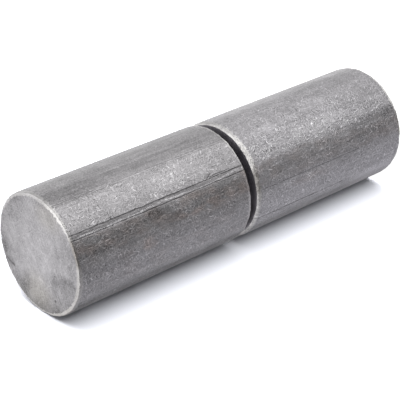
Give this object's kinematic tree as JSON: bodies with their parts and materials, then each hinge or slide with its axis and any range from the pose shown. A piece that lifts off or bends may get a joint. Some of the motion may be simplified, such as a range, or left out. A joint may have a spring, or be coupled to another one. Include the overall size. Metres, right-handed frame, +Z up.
{
  "type": "weld-on barrel hinge",
  "caption": "Round steel barrel hinge, welded along its side to post and gate: the gate half turns on a pressed-in pin and a thrust ball, and lifts straight off.",
  "frame": {"origin": "centre of the lower half's free end, which the hinge stands on", "axes": "+Z up along the hinge pin, from the lower (post) half to the upper (gate) half; the seams along the bar lie towards -X"},
  "size_m": [0.04, 0.04, 0.1432],
  "materials": {
    "tumbled_steel": "sawn round bar, tumbled dull, uncoated and ready to weld",
    "ground_steel": "turned and ground, greased",
    "bearing_steel": "hardened and polished ball, greased"
  },
  "bodies": {
    "post_half": {"lower_barrel": "tumbled_steel", "hinge_pin": "ground_steel"},
    "ball": {"thrust_ball": "bearing_steel"},
    "gate_half": {"upper_barrel": "tumbled_steel"}
  },
  "joints": [
    {"name": "lift_off", "type": "slide", "parent": "post_half", "child": "ball", "axis": [0, 0, 1], "range_m": [0, 0.04]},
    {"name": "swing", "type": "hinge", "parent": "ball", "child": "gate_half", "pos_m": [0, 0, 0.11205], "axis": [0, 0, 1], "continuous": true}
  ]
}
